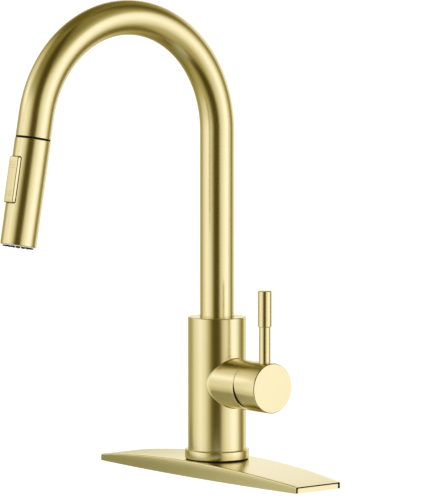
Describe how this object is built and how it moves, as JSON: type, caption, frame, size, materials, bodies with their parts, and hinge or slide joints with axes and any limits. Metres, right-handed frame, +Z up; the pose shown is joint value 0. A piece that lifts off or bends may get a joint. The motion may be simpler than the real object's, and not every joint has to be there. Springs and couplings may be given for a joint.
{
  "type": "pull-down kitchen faucet",
  "caption": "Tall gooseneck kitchen faucet with a pull-down two-spray head, a side lever on a drum hub and a long deck cover plate.",
  "frame": {"origin": "on the body's axis at the deck's top surface, where the shank enters the deck", "axes": "+Z up along the body, -Y the side that the spout reaches over, +X the handle's side"},
  "size_m": [0.2584, 0.252, 0.482],
  "materials": {
    "satin_gold": "satin",
    "brass_raw": "machined",
    "steel": "machined",
    "magnet_steel": "plated",
    "black_plastic": "matte",
    "grey_plastic": "matte",
    "white_plastic": "matte",
    "blue_plastic": "matte",
    "black_rubber": "matte",
    "white_ceramic": "smooth",
    "hose_braid": "woven nylon"
  },
  "bodies": {
    "faucet_body": {"deck_plate": "satin_gold", "deck_plate_base": "black_plastic", "deck_gasket": "black_rubber", "base_gasket": "black_rubber", "base_ring": "satin_gold", "body_shell": "satin_gold", "side_boss": "satin_gold", "valve_body": "brass_raw", "mounting_shank": "brass_raw", "spout_bushing_lower": "white_plastic", "spout_bushing_upper": "white_plastic", "spout_snap_ring": "steel", "cartridge_base": "white_plastic", "cartridge_seals": "black_rubber", "fixed_disc": "white_ceramic", "cartridge_housing": "blue_plastic", "bonnet_nut": "brass_raw"},
    "spout": {"spout_tube": "satin_gold", "spout_pivot_sleeve": "brass_raw", "spout_o_rings": "black_rubber", "docking_collar": "grey_plastic", "dock_ring": "black_plastic", "dock_magnet": "magnet_steel", "spray_hose": "hose_braid", "hose_lower_fitting": "brass_raw"},
    "hose_coupling": {"swivel_ball": "steel", "hose_ferrule": "steel"},
    "spray_head": {"head_shell": "satin_gold", "head_core": "grey_plastic", "hose_nut": "brass_raw", "hose_washer": "black_rubber", "head_magnet": "magnet_steel", "check_valve": "white_plastic", "rocker_pin": "steel", "spray_face": "white_plastic", "nozzle_pad": "black_rubber", "aerator": "black_plastic"},
    "mode_button": {"rocker_button": "satin_gold"},
    "diverter": {"diverter_plunger": "white_plastic"},
    "temperature_rotor": {"cartridge_rotor": "white_plastic", "stem_pin": "steel", "dust_ring": "black_plastic"},
    "sliding_disc": {"moving_disc": "white_ceramic", "disc_carrier": "black_plastic"},
    "handle": {"cartridge_stem": "steel", "handle_hub": "satin_gold", "lever_stem": "satin_gold", "lever_grip": "satin_gold", "handle_set_screw": "steel"},
    "mounting_hardware": {"mounting_washer_rubber": "black_rubber", "mounting_washer_steel": "steel", "mounting_nut": "brass_raw", "nut_screws": "steel"}
  },
  "joints": [
    {"name": "spout_swivel", "type": "hinge", "parent": "faucet_body", "child": "spout", "pos_m": [0, 0, 0.12], "axis": [0, 0, 1], "continuous": true},
    {"name": "head_pull", "type": "slide", "parent": "spout", "child": "hose_coupling", "axis": [0, -0.1766, -0.9843], "range_m": [0, 0.45], "stiffness_N_per_m": 8, "springref_m": -0.5, "deforming": ["spray_hose"]},
    {"name": "head_spin", "type": "hinge", "parent": "hose_coupling", "child": "spray_head", "pos_m": [0, -0.192, 0.28798], "axis": [0, -0.1766, -0.9843], "continuous": true},
    {"name": "mode_rock", "type": "hinge", "parent": "spray_head", "child": "mode_button", "pos_m": [0, -0.20773, 0.25581], "axis": [1, 0, 0], "range_deg": [-3.5, 3.5]},
    {"name": "diverter_shift", "type": "slide", "parent": "spray_head", "child": "diverter", "axis": [0, 0.9843, -0.1766], "range_m": [-0.0008, 0.0008]},
    {"name": "temperature_turn", "type": "hinge", "parent": "faucet_body", "child": "temperature_rotor", "pos_m": [0.034, 0, 0.079], "axis": [1, 0, 0], "range_deg": [-45, 45]},
    {"name": "flow_tilt", "type": "hinge", "parent": "temperature_rotor", "child": "handle", "pos_m": [0.034, 0, 0.079], "axis": [0, 1, 0], "range_deg": [0, 14]},
    {"name": "disc_shift", "type": "slide", "parent": "temperature_rotor", "child": "sliding_disc", "axis": [0, 0, 1], "range_m": [0, 0.003]},
    {"name": "hardware_drop", "type": "slide", "parent": "faucet_body", "child": "mounting_hardware", "axis": [0, 0, -1], "range_m": [0, 0.12]}
  ],
  "couplings": [
    {"joint": "diverter_shift", "follows": "mode_rock", "m_per_rad": 0.012},
    {"joint": "disc_shift", "follows": "flow_tilt", "m_per_rad": 0.012}
  ]
}
